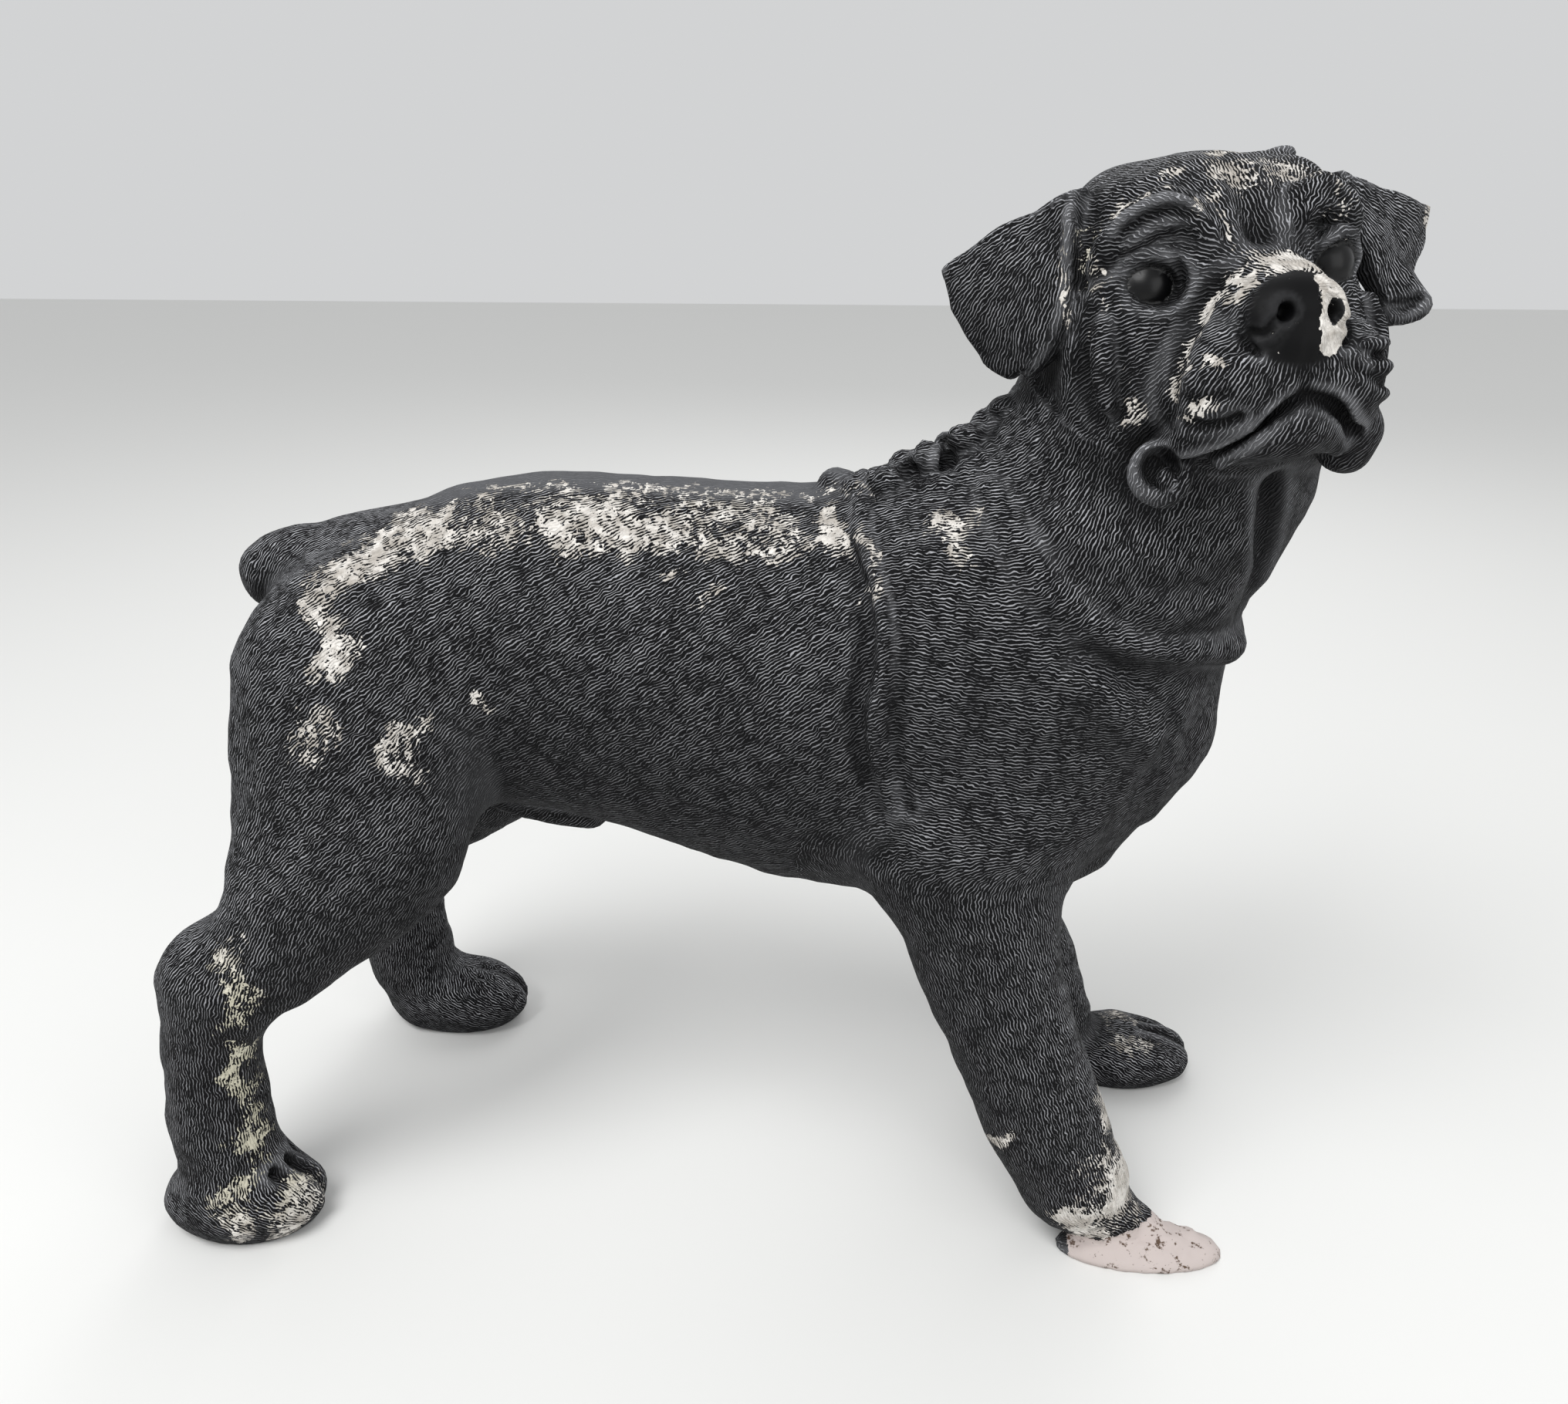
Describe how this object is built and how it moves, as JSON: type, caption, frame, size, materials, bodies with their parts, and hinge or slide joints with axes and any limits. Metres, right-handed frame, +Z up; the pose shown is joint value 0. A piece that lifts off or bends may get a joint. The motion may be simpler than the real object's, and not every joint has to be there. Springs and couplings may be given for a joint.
{
  "type": "dog garden statue",
  "caption": "Cast stone garden statue of a standing mastiff-type dog, head turned to one side, folded ears, docked tail, wrinkled neck and a broken forepaw.",
  "frame": {"origin": "on the ground under the middle of the whole figure", "axes": "+X towards the chest, +Y to the dog's left, +Z up; the head is turned towards -Y"},
  "size_m": [0.7662, 0.2958, 0.6695],
  "materials": {
    "cast_stone": "black paint worn to pale cement on carved fur"
  },
  "bodies": {
    "root": {"dog": "cast_stone"}
  },
  "joints": []
}
